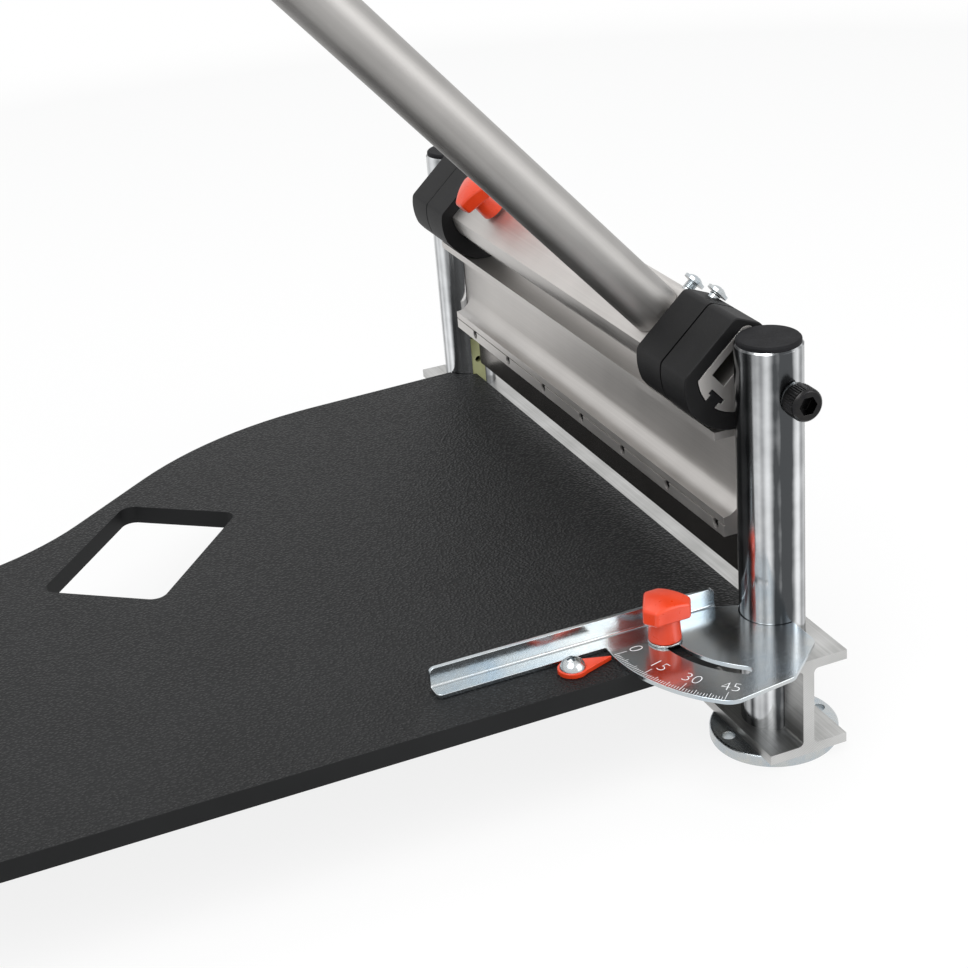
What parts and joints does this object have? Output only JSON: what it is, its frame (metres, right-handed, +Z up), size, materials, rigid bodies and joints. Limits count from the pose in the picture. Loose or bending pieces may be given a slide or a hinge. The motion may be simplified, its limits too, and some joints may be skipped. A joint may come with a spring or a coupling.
{
  "type": "laminate flooring cutter",
  "caption": "Bench shear for laminate planks: a cam lever drives a spring-returned blade down between slotted posts, with a support board and a swinging angle fence.",
  "frame": {"origin": "on the bench, midway between the two posts, at the middle of the bench bolt pattern", "axes": "+X to the outfeed side, +Y along the blade from the near post to the far post, +Z up"},
  "size_m": [0.4718, 0.474, 0.628],
  "materials": {
    "mill_aluminium": "mill, saw-cut ends",
    "satin_aluminium": "satin anodised",
    "zinc_plate": "zinc plated",
    "bright_zinc": "bright zinc plated tube",
    "fence_zinc": "zinc plated sheet",
    "plain_steel": "plain",
    "blade_steel": "polished",
    "black_oxide": "black oxide",
    "yellow_strip": "moulded",
    "board_plastic": "pebbled",
    "shoe_plastic": "moulded",
    "black_cap": "moulded",
    "red_plastic": "moulded",
    "pad_rubber": "moulded",
    "grip_rubber": "moulded"
  },
  "bodies": {
    "frame": {"base_beam": "mill_aluminium", "foot_near": "zinc_plate", "foot_far": "zinc_plate", "foot_bolts": "zinc_plate", "post_near": "bright_zinc", "post_far": "bright_zinc", "post_plug_near": "plain_steel", "post_plug_far": "plain_steel", "post_cap_near": "black_cap", "post_cap_far": "black_cap", "slot_strip_near": "yellow_strip", "slot_strip_far": "yellow_strip", "return_spring_near": "plain_steel", "return_spring_far": "plain_steel", "pivot_bush_near": "zinc_plate", "pivot_bush_far": "zinc_plate", "support_board": "board_plastic", "board_screws": "zinc_plate", "leg_beam": "mill_aluminium", "leg_pads": "pad_rubber", "leg_screws": "zinc_plate", "scale_pointer": "red_plastic", "pointer_screw": "zinc_plate", "fence_bolt": "zinc_plate"},
    "carriage": {"blade_carrier": "satin_aluminium", "blade": "blade_steel", "blade_screws": "black_oxide"},
    "lever": {"cam_beam": "satin_aluminium", "cam_shoe_near_outer": "shoe_plastic", "cam_shoe_near_inner": "shoe_plastic", "cam_shoe_far_inner": "shoe_plastic", "cam_shoe_far_outer": "shoe_plastic", "shoe_screws": "zinc_plate", "pivot_bolt_near": "black_oxide", "pivot_bolt_far": "black_oxide", "handle_tube": "satin_aluminium", "handle_plug": "plain_steel", "handle_bolt": "zinc_plate", "handle_grip": "grip_rubber"},
    "fence": {"angle_fence": "fence_zinc"},
    "fence_clamp": {"fence_knob": "red_plastic", "fence_washer": "zinc_plate"},
    "cam_clamp": {"cam_knob": "red_plastic", "cam_knob_stud": "zinc_plate"}
  },
  "joints": [
    {"name": "lever_turn", "type": "hinge", "parent": "frame", "child": "lever", "pos_m": [0.004, 0, 0.1843], "axis": [0, -1, 0], "range_deg": [-45, 52]},
    {"name": "carriage_slide", "type": "slide", "parent": "frame", "child": "carriage", "axis": [0, 0, -1], "range_m": [-0.00905, 0.01045], "deforming": ["return_spring_near", "return_spring_far"]},
    {"name": "fence_swing", "type": "hinge", "parent": "frame", "child": "fence", "pos_m": [0, -0.189, 0.0687], "axis": [0, 0, -1], "range_deg": [0, 45]},
    {"name": "fence_clamp_turn", "type": "hinge", "parent": "frame", "child": "fence_clamp", "pos_m": [-0.058, -0.189, 0.0712], "axis": [0, 0, 1], "range_deg": [0, 360]},
    {"name": "cam_clamp_turn", "type": "hinge", "parent": "lever", "child": "cam_clamp", "pos_m": [-0.01454, 0.087, 0.19978], "axis": [-0.6665, 0, 0.7455], "range_deg": [0, 360]}
  ],
  "couplings": [
    {"joint": "carriage_slide", "follows": "lever_turn", "m_per_rad": 0.0115}
  ]
}
